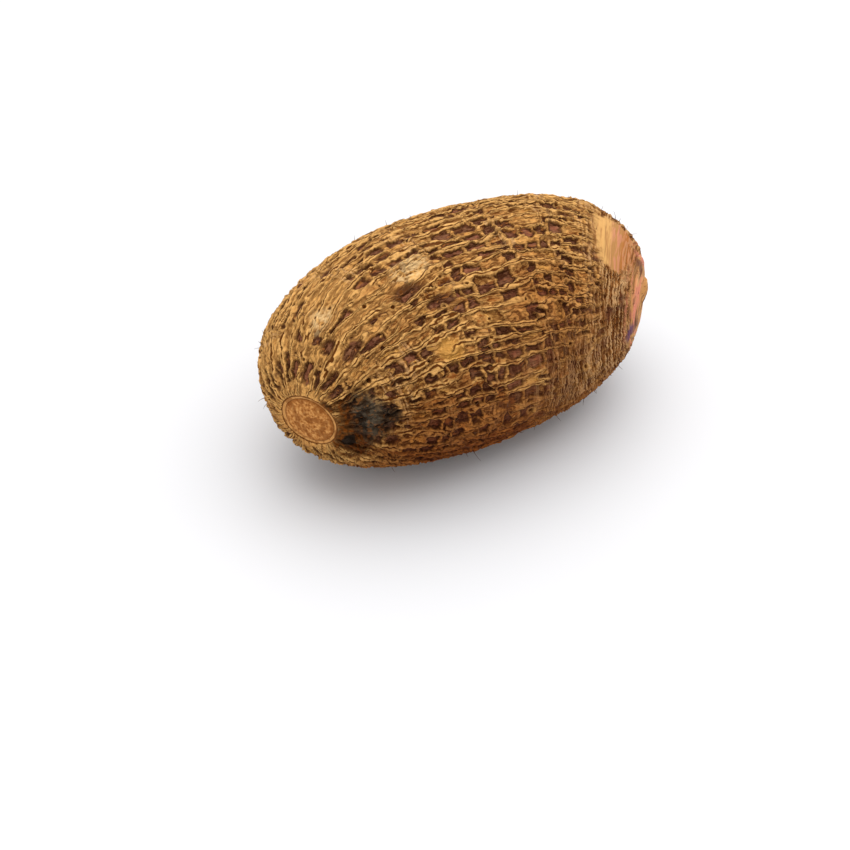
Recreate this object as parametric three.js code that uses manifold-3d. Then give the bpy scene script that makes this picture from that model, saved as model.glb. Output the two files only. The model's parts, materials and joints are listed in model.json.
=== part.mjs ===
// One whole taro corm, lying on its side as it settles on a table.
// It grew as one piece, so it is one solid: a stout body swept along a gently bowed spine, a
// round scar at the base where it broke off the mother plant, and a blunt crown with ringed
// leaf scars around its bud.
// Millimetres, +Z up. +X runs along the corm from the base scar to the crown, and the origin is
// on the table, under the middle of the corm's bounding box.

import * as THREE from "three";
import { mergeVertices } from "three/addons/utils/BufferGeometryUtils.js";
import Module from "manifold-3d";

const wasm = await Module();
wasm.setup();

// Driving dimensions of the body, from its widest section.
const BASE_LENGTH = 89.1;
const CROWN_LENGTH = 67.5;
const GIRTH_RADIUS = 48;
const FLATTENING = 0.05; // share by which the section is wider and lower than a circle

// The spine bows: both ends drift towards -Y, and the crown rises a little.
const BASE_DRIFT = 22.8;
const CROWN_DRIFT = 28;
const DRIFT_POWER = 2.5;
const BASE_RISE = -0.6;
const CROWN_RISE = 3.5;
const RISE_POWER = 2;

// How full each end is: radius = girth * (1 - share ^ fullness) ^ (1 / bluntness).
const BASE_FULLNESS = 2.92;
const BASE_BLUNTNESS = 2.06;
const CROWN_FULLNESS = 3.2;
const CROWN_BLUNTNESS = 2.45;

// Ring scars of old leaves: low narrow swells around the body, placed by their share of the
// length from the widest section (base negative).
const RING_SCARS = [
  { share: -0.82, height: 0.3 },
  { share: -0.58, height: 0.3 },
  { share: -0.3, height: 0.25 },
  { share: 0.12, height: 0.3 },
  { share: 0.5, height: 0.3 },
  { share: 0.72, height: 0.4 },
];
const RING_SCAR_SPREAD = 2.4;

// Low swellings and hollows: share of the length, angle around from the +Y side over the top,
// spread and height.
const SWELLINGS = [
  { name: "shoulder above the scar", share: -0.72, angle: 16, spread: 12, height: 1.8 },
  { name: "hollow behind the crest", share: 0.35, angle: 52, spread: 20, height: -1.5 },
  { name: "belly in front", share: -0.1, angle: 222, spread: 14, height: 1.8 },
  { name: "heel under the scar", share: -0.9, angle: 280, spread: 10, height: 1.5 },
  { name: "swelling at the back", share: -0.15, angle: 350, spread: 24, height: 1.0 },
  { name: "swelling low at the back", share: 0.45, angle: 318, spread: 20, height: 1.0 },
];

// The base scar: a slightly domed disc inside a groove. Each pair is a radius and how far out
// along the spine that circle stands from the edge of the scar.
const SCAR_RIM_RADIUS = 12;
const SCAR_PROFILE = [
  [11.1, 0],
  [10.4, -0.7],
  [9.7, 0.2],
  [6.5, 0.7],
  [3.2, 0.9],
];
const SCAR_CENTRE_RISE = 1;

// The crown: a round leaf-stalk scar, set off by a crevice. Its bud stands above its middle, so
// each circle sits higher the smaller it is.
const CROWN_RIM_RADIUS = 18.5;
const CROWN_PROFILE = [
  [18, -0.3],
  [17.2, 0.9],
  [14, 1.5],
  [13.2, 1.3],
  [10, 2.2],
  [9.2, 2.0],
  [5.5, 2.9],
  [4.5, 3.8],
  [2.5, 4.5],
];
const BUD_RISE = 4.7;
const BUD_SHIFT = 6.2;

// How deep the belly is pressed flat where the corm settles.
const REST_FLAT_DEPTH = 0.8;

// Fineness of the mesh.
const RINGS = 54;
const SEGMENTS = 56;

const UP = new THREE.Vector3(0, 0, 1);

// Distance along X of a share of the length.
function alongX(share) {
  return share * (share < 0 ? BASE_LENGTH : CROWN_LENGTH);
}

// Centre of the section at a share from -1 (base) through 0 (widest) to 1 (crown).
function spinePoint(share) {
  const reach = Math.abs(share);
  const atBase = share < 0;
  return new THREE.Vector3(
    alongX(share),
    -(atBase ? BASE_DRIFT : CROWN_DRIFT) * reach ** DRIFT_POWER,
    (atBase ? BASE_RISE : CROWN_RISE) * reach ** RISE_POWER,
  );
}

function spineDirection(share) {
  const step = 1e-4;
  const ahead = spinePoint(Math.min(share + step, 1));
  const behind = spinePoint(Math.max(share - step, -1));
  return ahead.sub(behind).normalize();
}

function bodyRadius(share) {
  const fullness = share < 0 ? BASE_FULLNESS : CROWN_FULLNESS;
  const bluntness = share < 0 ? BASE_BLUNTNESS : CROWN_BLUNTNESS;
  return GIRTH_RADIUS * (1 - Math.abs(share) ** fullness) ** (1 / bluntness);
}

// The share at which the body has narrowed to a radius: bodyRadius turned round.
function shareAtRadius(radius, fullness, bluntness) {
  return (1 - (radius / GIRTH_RADIUS) ** bluntness) ** (1 / fullness);
}

function ringScarHeight(share) {
  return RING_SCARS.reduce((sum, scar) => {
    const distance = (alongX(share) - alongX(scar.share)) / RING_SCAR_SPREAD;
    return sum + scar.height * Math.exp(-0.5 * distance ** 2);
  }, 0);
}

// Unit vector from the spine to the skin: angle 0 is the +Y side, a quarter turn is the top.
function outward(direction, angle) {
  const side = new THREE.Vector3().crossVectors(UP, direction).normalize();
  const top = new THREE.Vector3().crossVectors(direction, side);
  return side.multiplyScalar(Math.cos(angle)).addScaledVector(top, Math.sin(angle));
}

// A point of the plain body, before the swellings.
function bodyPoint(centre, direction, radius, angle) {
  const reach = radius * (1 + FLATTENING * Math.cos(2 * angle));
  return centre.clone().addScaledVector(outward(direction, angle), reach);
}

const swellings = SWELLINGS.map(({ share, angle, spread, height }) => ({
  centre: bodyPoint(
    spinePoint(share),
    spineDirection(share),
    bodyRadius(share),
    THREE.MathUtils.degToRad(angle),
  ),
  spread,
  height,
}));

function swellingHeight(point) {
  return swellings.reduce((sum, { centre, spread, height }) => {
    const distance = point.distanceTo(centre) / spread;
    return sum + height * Math.exp(-0.5 * distance ** 2);
  }, 0);
}

// One ring of skin points around a centre.
function ring(centre, direction, radius) {
  return Array.from({ length: SEGMENTS }, (_, i) => {
    const angle = (2 * Math.PI * i) / SEGMENTS;
    const point = bodyPoint(centre, direction, radius, angle);
    return point.addScaledVector(outward(direction, angle), swellingHeight(point));
  });
}

// The two ends. outwards is the way the end faces along the spine, and shift is how far above
// the spine its centre stands.
const BASE_END = {
  share: -shareAtRadius(SCAR_RIM_RADIUS, BASE_FULLNESS, BASE_BLUNTNESS),
  rimRadius: SCAR_RIM_RADIUS,
  profile: SCAR_PROFILE,
  tipRise: SCAR_CENTRE_RISE,
  outwards: -1,
  shift: 0,
};
const CROWN_END = {
  share: shareAtRadius(CROWN_RIM_RADIUS, CROWN_FULLNESS, CROWN_BLUNTNESS),
  rimRadius: CROWN_RIM_RADIUS,
  profile: CROWN_PROFILE,
  tipRise: BUD_RISE,
  outwards: 1,
  shift: BUD_SHIFT,
};

// Centre of an end's circle of a given radius, which stands out from the rim by rise.
function endCentre({ share, rimRadius, outwards, shift }, radius, rise) {
  const direction = spineDirection(share);
  const top = outward(direction, Math.PI / 2);
  return spinePoint(share)
    .addScaledVector(direction, outwards * rise)
    .addScaledVector(top, shift * (1 - radius / rimRadius));
}

// Rings of an end, from its rim inwards.
function endRings(end) {
  const direction = spineDirection(end.share);
  return end.profile.map(([radius, rise]) =>
    ring(endCentre(end, radius, rise), direction, radius),
  );
}

// Skin of the whole corm as one closed geometry: a tip, the rings, and the other tip.
function corm() {
  const bodyRings = Array.from({ length: RINGS }, (_, i) => {
    const even = i / (RINGS - 1);
    const eased = (1 - Math.cos(Math.PI * even)) / 2;
    const share = THREE.MathUtils.lerp(BASE_END.share, CROWN_END.share, (even + 2 * eased) / 3);
    const radius = bodyRadius(share) + ringScarHeight(share);
    return ring(spinePoint(share), spineDirection(share), radius);
  });
  const rings = [
    ...endRings(BASE_END).reverse(),
    ...bodyRings,
    ...endRings(CROWN_END),
  ];
  const points = rings.flat();
  const baseTip = points.push(endCentre(BASE_END, 0, BASE_END.tipRise)) - 1;
  const crownTip = points.push(endCentre(CROWN_END, 0, CROWN_END.tipRise)) - 1;

  const faces = [];
  const lastRing = (rings.length - 1) * SEGMENTS;
  for (let i = 0; i < SEGMENTS; i++) {
    const next = (i + 1) % SEGMENTS;
    faces.push(baseTip, next, i);
    faces.push(crownTip, lastRing + i, lastRing + next);
    for (let start = 0; start < lastRing; start += SEGMENTS) {
      const above = start + SEGMENTS;
      faces.push(start + i, start + next, above + next);
      faces.push(start + i, above + next, above + i);
    }
  }
  return new THREE.BufferGeometry().setFromPoints(points).setIndex(faces);
}

function toSolid(geometry) {
  const plain = geometry.clone();
  plain.deleteAttribute("normal");
  plain.deleteAttribute("uv");
  const merged = mergeVertices(plain);
  return new wasm.Manifold(
    new wasm.Mesh({
      numProp: 3,
      vertProperties: merged.attributes.position.array,
      triVerts: new Uint32Array(merged.index.array),
    }),
  );
}

function toGeometry(solid) {
  const { vertProperties, triVerts } = solid.getMesh();
  return new THREE.BufferGeometry()
    .setAttribute("position", new THREE.BufferAttribute(vertProperties, 3))
    .setIndex(new THREE.BufferAttribute(triVerts, 1));
}

// The corm with its belly pressed flat, moved so that the flat lies on the table at the origin.
function settledCorm() {
  const body = corm();
  body.computeBoundingBox();
  const size = body.boundingBox.getSize(new THREE.Vector3());
  const middle = body.boundingBox.getCenter(new THREE.Vector3());
  const table = new THREE.BoxGeometry(2 * size.x, 2 * size.y, size.z);
  const tableTop = body.boundingBox.min.z + REST_FLAT_DEPTH;
  table.translate(middle.x, middle.y, tableTop - size.z / 2);
  const settled = toGeometry(toSolid(body).subtract(toSolid(table)));
  settled.translate(-middle.x, -middle.y, -tableTop);
  settled.computeVertexNormals();
  return settled;
}

const corkySkin = new THREE.MeshStandardMaterial({
  name: "corky_skin",
  color: 0x9a7440,
  roughness: 0.85,
  metalness: 0,
});

const taro = new THREE.Group();
const skin = new THREE.Mesh(settledCorm(), corkySkin);
skin.name = "corm";
taro.add(skin);

export default taro;
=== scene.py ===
# %% [markdown]
# # A whole taro corm
# A taro corm is the swollen underground stem of a leafy plant. Its skin is thin cork that could not
# stretch while the corm swelled, so it split lengthwise again and again: long ochre ridges, a dark
# crack in each, and dry purple-brown flakes of old skin caught between them. This lesson grows that
# skin on the CAD solid, colours it, adds the broken root hairs and lights it in a small white studio.

# %% Load the frame
import json
import math
import random

import bpy
import numpy as np
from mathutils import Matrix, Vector

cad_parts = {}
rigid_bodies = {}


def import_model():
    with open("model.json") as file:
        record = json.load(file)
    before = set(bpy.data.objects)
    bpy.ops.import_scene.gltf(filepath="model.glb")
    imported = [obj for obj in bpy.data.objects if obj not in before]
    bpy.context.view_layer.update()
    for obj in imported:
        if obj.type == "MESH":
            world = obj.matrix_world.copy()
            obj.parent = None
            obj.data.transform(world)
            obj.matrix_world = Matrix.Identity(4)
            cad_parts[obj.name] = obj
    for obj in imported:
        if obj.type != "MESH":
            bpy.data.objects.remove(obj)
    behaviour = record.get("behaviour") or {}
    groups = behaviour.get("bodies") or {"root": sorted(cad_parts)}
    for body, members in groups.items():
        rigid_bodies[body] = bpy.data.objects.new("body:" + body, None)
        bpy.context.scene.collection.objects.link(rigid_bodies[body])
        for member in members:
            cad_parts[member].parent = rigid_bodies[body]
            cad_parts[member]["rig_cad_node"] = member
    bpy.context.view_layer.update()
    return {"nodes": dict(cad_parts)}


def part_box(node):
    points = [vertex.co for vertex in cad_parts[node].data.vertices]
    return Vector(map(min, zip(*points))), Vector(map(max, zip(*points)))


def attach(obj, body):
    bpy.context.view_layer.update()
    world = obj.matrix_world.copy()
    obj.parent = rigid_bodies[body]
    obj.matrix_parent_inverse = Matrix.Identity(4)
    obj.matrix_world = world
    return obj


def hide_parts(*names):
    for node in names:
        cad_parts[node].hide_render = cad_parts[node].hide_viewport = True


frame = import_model()
MM = 0.001
low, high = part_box("corm")
print("corm is", [round(side / MM, 1) for side in high - low], "mm")

# %% [markdown]
# ## Camera
# The corm is seen from above its base scar, about forty degrees up, and partly along its length.
# The camera looks at the table under the corm. A long lens from far away keeps the near end from
# swelling, as a short lens close by would not.

# %% Camera
LENS_MM = 70
SENSOR_WIDTH_MM = 36
CAMERA_DISTANCE = 701.8 * MM
CAMERA_AZIMUTH = math.radians(-31.3)
CAMERA_ELEVATION = math.radians(39.5)
CAMERA_AIM = Vector((-16 * MM, -1.3 * MM, 0))
back = Vector((
    math.sin(CAMERA_AZIMUTH) * math.cos(CAMERA_ELEVATION),
    -math.cos(CAMERA_AZIMUTH) * math.cos(CAMERA_ELEVATION),
    math.sin(CAMERA_ELEVATION),
))
bpy.ops.object.camera_add(
    location=CAMERA_AIM + back * CAMERA_DISTANCE,
    rotation=back.to_track_quat("Z", "Y").to_euler(),
)
camera = bpy.context.object
camera.name = "camera"
camera.data.lens = LENS_MM
camera.data.sensor_width = SENSOR_WIDTH_MM
bpy.context.scene.camera = camera
print("camera stands", round(camera.location.z / MM), "mm above the table")

# %% [markdown]
# ## The body, smooth
# The CAD solid is already the corm's true shape, in flat facets. The skin starts as a copy of it:
# its loose triangles are merged, paired back into four-sided faces that run along the growth lines,
# and subdivided until a face is about half a millimetre, small enough for the ridges. A stretched
# ball could be sculpted instead, but a copy is sure to lie exactly where the solid does.

# %% Copy the solid and smooth it
SMOOTHING_LEVELS = 3

bpy.ops.object.select_all(action="DESELECT")
bpy.context.view_layer.objects.active = frame["nodes"]["corm"]
frame["nodes"]["corm"].select_set(True)
bpy.ops.object.duplicate()
skin = bpy.context.object
skin.name = "corm_skin"
del skin["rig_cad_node"]  # the copy is a piece of this scene, and the solid stays as it is
bpy.ops.object.parent_clear(type="CLEAR_KEEP_TRANSFORM")
bpy.ops.object.mode_set(mode="EDIT")
bpy.ops.mesh.select_all(action="SELECT")
bpy.ops.mesh.remove_doubles(threshold=0.001 * MM)
bpy.ops.mesh.tris_convert_to_quads()
bpy.ops.object.mode_set(mode="OBJECT")
smooth = skin.modifiers.new("smooth", "SUBSURF")
smooth.levels = smooth.render_levels = SMOOTHING_LEVELS
bpy.ops.object.modifier_apply(modifier="smooth")
print("smooth skin has", len(skin.data.polygons), "faces")

# %% [markdown]
# ## Growth coordinates
# Ridges, cracks and fibres follow the way the corm grew, from the base scar to the crown, and not
# the room's X, Y and Z. So each point of the skin gets its own growth coordinates in millimetres: how
# far it is from the base scar along the skin, and where it lies around the spine. They are stored as
# an attribute, because an attribute needs no unwrapping and leaves no seam. Towards the ends the
# "around" part shrinks slower than the body does, as the real ridges crowd together there. The
# ridges also wind a little around the corm, so the angle is turned back by a small share of the
# length.
#
# The spine and the radius are the formulas that shaped the solid, with the same dimensions.

# %% The spine of the solid
SPINE_START = np.array([6.8, -0.2, 45.1])  # the middle of the widest section
BASE_LENGTH, CROWN_LENGTH = 89.1, 67.5
BASE_DRIFT, CROWN_DRIFT = 22.8, 28
BASE_RISE, CROWN_RISE = -0.6, 3.5
DRIFT_POWER, RISE_POWER = 2.5, 2
GIRTH_RADIUS, FLATTENING = 48, 0.05
BASE_FULLNESS, CROWN_FULLNESS = 2.92, 3.2
BASE_BLUNTNESS, CROWN_BLUNTNESS = 2.06, 2.45
BASE_RIM, CROWN_RIM = -0.98, 0.969  # where the two scars start, as shares of the length
BASE_SCAR, CROWN_SCAR = 12, 18.5  # radius of each scar
RING_SCARS = (-0.82, -0.58, -0.3, 0.12, 0.5, 0.72)
SPINE_STEP = 1e-4  # share of the length over which the spine's direction is read
print("spine runs", BASE_LENGTH + CROWN_LENGTH, "mm along X")


def spine_point(share):
    """Centre of the body, in mm, at a share of its length: -1 at the base, 1 at the crown."""
    at_base = share < 0
    reach = np.abs(share)
    along = np.where(at_base, BASE_LENGTH, CROWN_LENGTH) * share
    drift = -np.where(at_base, BASE_DRIFT, CROWN_DRIFT) * reach**DRIFT_POWER
    rise = np.where(at_base, BASE_RISE, CROWN_RISE) * reach**RISE_POWER
    return SPINE_START + np.stack([along, drift, rise], axis=-1)


def body_radius(share):
    """Radius of the body, in mm, at a share of its length."""
    at_base = share < 0
    fullness = np.where(at_base, BASE_FULLNESS, CROWN_FULLNESS)
    bluntness = np.where(at_base, BASE_BLUNTNESS, CROWN_BLUNTNESS)
    return GIRTH_RADIUS * (1 - np.abs(share) ** fullness) ** (1 / bluntness)


def spine_direction(share):
    """Unit vector along the spine."""
    step = spine_point(share + SPINE_STEP) - spine_point(share - SPINE_STEP)
    return step / np.linalg.norm(step, axis=-1, keepdims=True)


# %% Where a point lies on the spine
SHARE_REACH = 1.2  # the search for a share starts this far from the middle, both ways
HALVINGS = 26


def vertex_places(mesh):
    """The mesh's vertices in millimetres, one row each."""
    flat = np.empty(len(mesh.vertices) * 3)
    mesh.vertices.foreach_get("co", flat)
    return flat.reshape(-1, 3) / MM


def share_of(points):
    """For each point, the share of the length whose section it lies in, found by halving."""
    least, most = np.full(len(points), -SHARE_REACH), np.full(len(points), SHARE_REACH)
    for _ in range(HALVINGS):
        middle = (least + most) / 2
        ahead = ((points - spine_point(middle)) * spine_direction(middle)).sum(axis=1) > 0
        least, most = np.where(ahead, middle, least), np.where(ahead, most, middle)
    return (least + most) / 2


def around_spine(points, share):
    """Each point's distance from the spine, and its angle: 0 on top, a quarter turn in front."""
    direction = spine_direction(share)
    side = np.cross(direction, (0, 0, 1))
    side /= np.linalg.norm(side, axis=1, keepdims=True)
    top = np.cross(side, direction)
    arm = points - spine_point(share)
    across, upward = (arm * side).sum(axis=1), (arm * top).sum(axis=1)
    return np.hypot(across, upward), np.arctan2(across, upward)


places = vertex_places(skin.data)
share = share_of(places)
radius, angle = around_spine(places, share)
print("skin reaches", round(radius.max(), 1), "mm from the spine")

# %% Measure the skin from pole to pole
SECTIONS = 200  # crowded towards the blunt ends, where the radius changes fast
ease = (1 - np.cos(np.linspace(0, math.pi, SECTIONS))) / 2
sections = BASE_RIM + (CROWN_RIM - BASE_RIM) * ease
body_radii = body_radius(sections)
steps = np.hypot(
    np.linalg.norm(np.diff(spine_point(sections), axis=0), axis=1), np.diff(body_radii)
)
body_lengths = BASE_SCAR + np.concatenate([[0], np.cumsum(steps)])
SKIN_LENGTH = float(body_lengths[-1]) + CROWN_SCAR
length_at = np.concatenate([[0], body_lengths, [SKIN_LENGTH]])
mean_radius = np.concatenate([[0], body_radii, [0]])
rings = np.interp(RING_SCARS, sections, body_lengths)
print("skin is", round(SKIN_LENGTH), "mm from pole to pole, with rings at", rings.round().tolist())

# %% Store the growth coordinates
WINDING = 0.0016  # how far the ridges wind around the spine, in radians per mm
SCAR_MARGIN = 0.02  # a scar's points are looked for in this share of the length inside its rim
round_radius = radius / (1 - FLATTENING * np.cos(2 * angle))
on_base = (share < BASE_RIM + SCAR_MARGIN) & (round_radius < BASE_SCAR)
on_crown = (share > CROWN_RIM - SCAR_MARGIN) & (round_radius < CROWN_SCAR)
along = np.interp(share, sections, body_lengths)
along = np.where(on_base, round_radius, np.where(on_crown, SKIN_LENGTH - round_radius, along))
girth = np.sqrt(GIRTH_RADIUS * np.interp(along, length_at, mean_radius))
wound = angle - WINDING * along
growth = np.stack([along, girth * np.sin(wound), girth * np.cos(wound)], axis=1)
stored = skin.data.attributes.new("growth", "FLOAT_VECTOR", "POINT")
stored.data.foreach_set("vector", growth.astype(np.float32).ravel())
print(int(on_base.sum()), "points on the base scar,", int(on_crown.sum()), "on the crown scar")


# %% Places on the skin
def growth_at(mm_along, degrees_around):
    """Growth coordinates of a place on the skin."""
    reach = float(np.interp(mm_along, length_at, np.sqrt(GIRTH_RADIUS * mean_radius)))
    turn = math.radians(degrees_around) - WINDING * mm_along
    return mm_along, reach * math.sin(turn), reach * math.cos(turn)


def skin_point(mm_along, degrees_around):
    """Index of the skin vertex nearest to a place on the skin."""
    return int(((growth - growth_at(mm_along, degrees_around)) ** 2).sum(axis=1).argmin())


print("middle of the top is at", places[skin_point(SKIN_LENGTH / 2, 0)].round().tolist(), "mm")

# %% [markdown]
# ## Broken roots
# Feeding roots grew out through the skin and dried off. Each left a round pit with a pale rim. The
# skin stores how far every point is from the nearest pit, so that the relief can dig the pit and
# the colour can ring it at exactly the same place.

# %% Root pits
ROOT_PITS = [  # mm from the base's pole, degrees around
    (79, 87), (81, 36), (62, 22), (48, -10), (41, -7), (78, 8), (84, 12), (55, 10), (118, 48),
]
MORE_PITS = 30
PITS_FROM, PITS_TO = 22, SKIN_LENGTH - 50
PIT_SPACING = 7
PIT_SIZES = (0.7, 1.2)
NO_PIT = 99.0  # mm, farther than any pit reaches
dice = random.Random(11)

pits = [places[skin_point(*place)] for place in ROOT_PITS]
while len(pits) < len(ROOT_PITS) + MORE_PITS:
    spot = places[skin_point(dice.uniform(PITS_FROM, PITS_TO), dice.uniform(-180, 180))]
    if min(np.linalg.norm(spot - other) for other in pits) > PIT_SPACING:
        pits.append(spot)
pit_distance = np.full(len(places), NO_PIT)
for pit in pits:
    apart = np.linalg.norm(places - pit, axis=1) / dice.uniform(*PIT_SIZES)
    pit_distance = np.minimum(pit_distance, apart)
stored = skin.data.attributes.new("root_pit", "FLOAT", "POINT")
stored.data.foreach_set("value", pit_distance.astype(np.float32))
print(len(pits), "root pits")

# %% [markdown]
# ## One recipe for relief and colour
# The ridges have to be real relief, because they show against the light, and the colours have to
# sit exactly on them. So the skin's pattern is one function that lays the same nodes in any node
# tree. The modifier that pushes the mesh out and the materials that paint it all call it.


# %% A helper that lays a node
def lay(tree, kind, inputs=(), **settings):
    """Adds a node with its settings, and fills its inputs, by name or number, with values or links.

    A node given as an input stands for its first output in use."""
    made = tree.nodes.new(kind)
    for name, value in settings.items():
        setattr(made, name, value)
    for key, value in dict(inputs).items():
        if isinstance(value, bpy.types.Node):
            value = next(socket for socket in value.outputs if socket.enabled)
        if isinstance(value, bpy.types.NodeSocket):
            tree.links.new(value, made.inputs[key])
        else:
            made.inputs[key].default_value = value
    return made


# %% [markdown]
# Noise makes every ridge and stain uneven. Each noise has the real size of what it stands for: a
# long one bends the ridges, a short one roughens the cork. Most are stretched along the corm, as
# the skin tore that way. Fibres and leaf bases run around it, so their noises are stretched that
# way. The finest two stand for things too fine to show, so they are drawn coarser.

# %% Fields of noise
NOISE = {  # size along the corm in mm, size around it in mm, detail
    "bend": (40, 14, 1),  # slow bends of the ridges
    "wobble": (8, 3, 1),  # quick bends of the ridges
    "finger": (26, 4, 0),  # how far each ridge runs past a ring scar
    "open": (18, 4, 0),  # where a crack stays closed
    "patch": (40, 26, 2),  # browner and paler parts of the skin
    "blotch": (9, 7, 3),  # ragged edges of stains and spots
    "mottle": (2.6, 2, 2),  # unevenness of the cork
    "layer": (1.4, 16, 2),  # thin layers of the scraped patch and the crown
    "husk": (3.2, 34, 2),  # torn leaf bases at the crown
    "strand": (1.0, 12, 2),  # fibres: a real one is 0.3 mm thick, drawn coarser so that it shows
    "speck": (0.7, 0.7, 2),  # grain of the cork: really 0.2 mm, drawn coarser so that it shows
}
BENT_NOISE = {  # these follow the ridges' own bends
    "fold": (6.5, 1.2, 2),  # folds of old skin
    "grain": (3.2, 0.6, 2),  # fine streaks along a ridge
    "wrinkle": (14, 2.8, 1),  # shallow cracks that never opened
}
BENDS = {"bend": (5, 11, 11), "wobble": (4.5, 4.2, 4.2)}  # how far each noise shifts the ridges
NOISE_MIDDLE = 0.5
print(len(NOISE | BENT_NOISE), "noises")


def noise_fields(tree, growth):
    """Lays the noises, and returns them by name with the bent growth coordinates."""
    part, bent = {}, growth
    for name, (length, width, detail) in (NOISE | BENT_NOISE).items():
        if name == next(iter(BENT_NOISE)):
            for bend, shift in BENDS.items():
                centred = lay(tree, "ShaderNodeVectorMath",
                              {0: part[bend].outputs["Color"], 1: (NOISE_MIDDLE,) * 3},
                              operation="SUBTRACT")
                bent = lay(tree, "ShaderNodeVectorMath", {0: centred, 1: shift, 2: bent},
                           operation="MULTIPLY_ADD")
        place = lay(tree, "ShaderNodeVectorMath", {0: bent, 1: (length, width, width)},
                    operation="DIVIDE")
        part[name] = lay(tree, "ShaderNodeTexNoise", {"Vector": place, "Scale": 1, "Detail": detail})
    return part, bent


# %% [markdown]
# Between two ring scars the skin split into a fixed number of ridges, so the ridges are counted
# around the girth: a one-dimensional Voronoi texture of the angle gives each ridge its number and
# the distance to its crack. A second one along the corm cuts every ridge into cells. Noise pushes
# each ring scar's edge out in fingers, so that the ridges of one band run out between the next
# ones.

# %% Ridges, cells and ring scars
RIDGE_WIDTHS = np.array([5.2, 5.0, 5.4, 6.2, 6.0, 5.2, 4.6])  # mm, between the rings
CELL_LENGTH = 8.5
LIP_WIDTH, RUNG_WIDTH = 0.9, 1.2
FINGER_LENGTH = 26
FAR_FROM_RING = 99
BAND_SHIFT = 211.3  # any large number: it gives each band of ridges other dice than the last
RIDGE_UNEVENNESS, CELL_UNEVENNESS = 0.75, 1
CELL_SHUFFLE = 0.6  # in cells, how far a ridge's cells may be out of step with its neighbour's
EDGE_ROUGHNESS = 0.25  # mm, how far specks eat into the edge of a crack
FOOT_ROUGHNESS = 1.8  # mm, how far the mottle eats into the foot of a lip
FLAKE_ROUGHNESS = 1.5  # mm, how far the mottle eats into the edge of a flake
CORNER_ROUNDING = 2  # mm
band_edges = np.concatenate([[BASE_SCAR], rings, [SKIN_LENGTH - CROWN_SCAR]])
band_middles = np.interp(np.convolve(band_edges, (0.5, 0.5), "valid"), length_at, mean_radius)
ridge_turns = band_middles / RIDGE_WIDTHS
print("ridges between the rings:", (2 * math.pi * ridge_turns).round().astype(int).tolist())


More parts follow.
